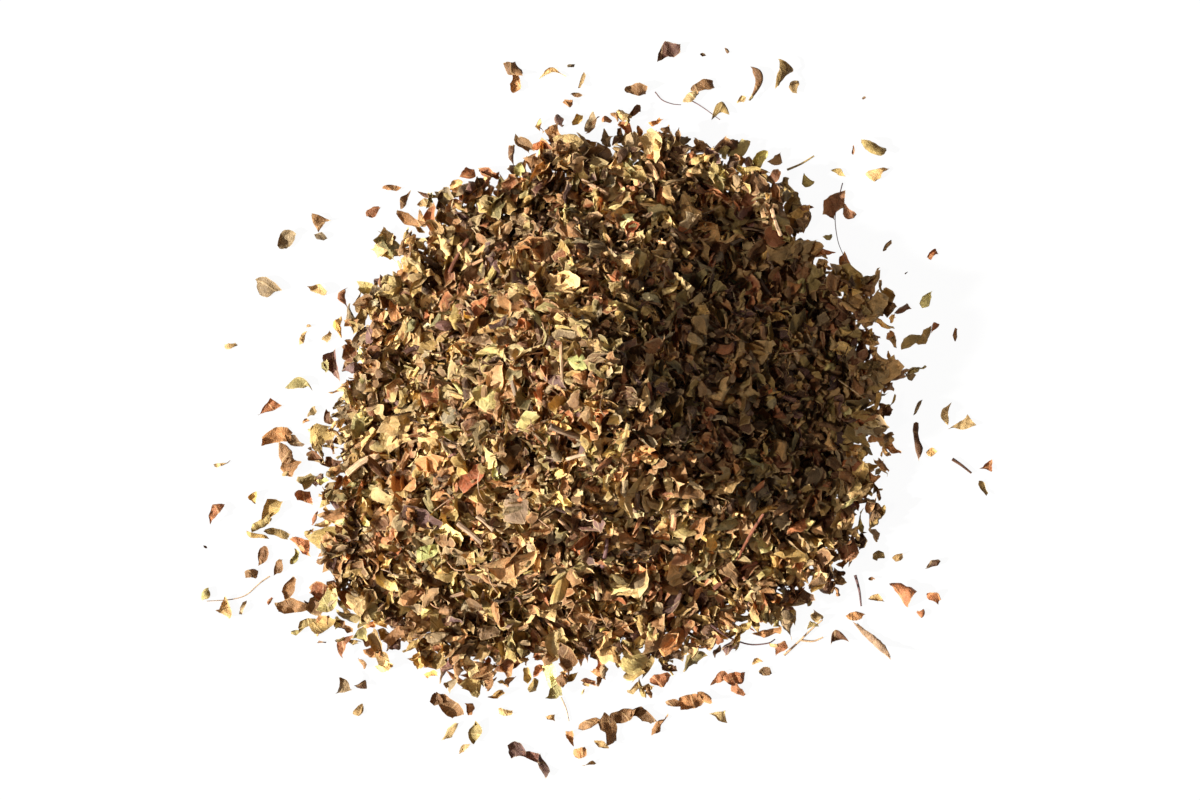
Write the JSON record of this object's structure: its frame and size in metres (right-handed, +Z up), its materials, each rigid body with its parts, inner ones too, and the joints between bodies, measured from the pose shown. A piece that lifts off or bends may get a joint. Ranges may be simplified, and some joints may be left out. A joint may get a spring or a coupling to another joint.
{
  "type": "heap of dried crushed holy basil leaf",
  "caption": "Low rounded heap of dried crushed herb leaf with bits of stem, as poured out on a flat surface, with loose crumbs lying round its foot.",
  "frame": {"origin": "on the flat surface that the heap lies on, under the middle of the heap's footprint", "axes": "+Z up; +X along the longest spread of heap and loose crumbs; +Y away from the viewer at the front"},
  "size_m": [0.1582, 0.1463, 0.0369],
  "materials": {
    "heap_leaf": "matte",
    "olive_leaf": "matte",
    "green_leaf": "matte",
    "tan_leaf": "matte",
    "brown_leaf": "matte",
    "dark_leaf": "matte",
    "grey_leaf": "matte",
    "russet_leaf": "matte",
    "purple_leaf": "matte",
    "dry_stem": "matte"
  },
  "bodies": {
    "root": {"crushed_leaf_heap": "heap_leaf", "pale_green_leaf": "green_leaf", "yellow_leaf": "tan_leaf", "purple_leaf": "purple_leaf", "red_brown_leaf": "russet_leaf", "large_tan_leaf": "tan_leaf", "golden_leaf": "tan_leaf", "right_flank_leaf": "brown_leaf", "grey_olive_leaf": "olive_leaf", "pale_stem": "dry_stem", "grey_stem_middle": "grey_leaf", "grey_stem_low": "grey_leaf", "brown_stem_low": "brown_leaf", "tan_stem_low": "dry_stem", "brown_stem_high": "brown_leaf", "loose_grey_01": "grey_leaf", "loose_grey_02": "grey_leaf", "loose_tan_03": "tan_leaf", "loose_brown_04": "brown_leaf", "loose_green_05": "green_leaf", "loose_purple_06": "purple_leaf", "loose_russet_07": "russet_leaf", "loose_brown_08": "brown_leaf", "loose_russet_09": "russet_leaf", "loose_olive_10": "olive_leaf", "loose_brown_11": "brown_leaf", "loose_green_12": "green_leaf", "loose_tan_13": "tan_leaf", "loose_brown_14": "brown_leaf", "loose_olive_15": "olive_leaf", "loose_russet_16": "russet_leaf", "loose_tan_17": "tan_leaf", "loose_grey_18": "grey_leaf", "loose_tan_19": "tan_leaf", "loose_brown_20": "brown_leaf", "loose_olive_21": "olive_leaf", "loose_tan_22": "tan_leaf", "loose_purple_23": "purple_leaf", "loose_brown_24": "brown_leaf", "loose_russet_25": "russet_leaf", "loose_brown_26": "brown_leaf", "loose_russet_27": "russet_leaf", "loose_dark_28": "dark_leaf", "loose_stem_29": "dry_stem", "loose_russet_30": "russet_leaf", "loose_dark_31": "dark_leaf", "loose_tan_32": "tan_leaf", "loose_russet_33": "russet_leaf", "loose_dark_34": "dark_leaf", "loose_tan_35": "tan_leaf", "loose_olive_36": "olive_leaf", "loose_tan_37": "tan_leaf", "loose_olive_38": "olive_leaf", "loose_russet_39": "russet_leaf", "loose_brown_40": "brown_leaf", "loose_purple_41": "purple_leaf", "loose_brown_42": "brown_leaf"}
  },
  "joints": []
}
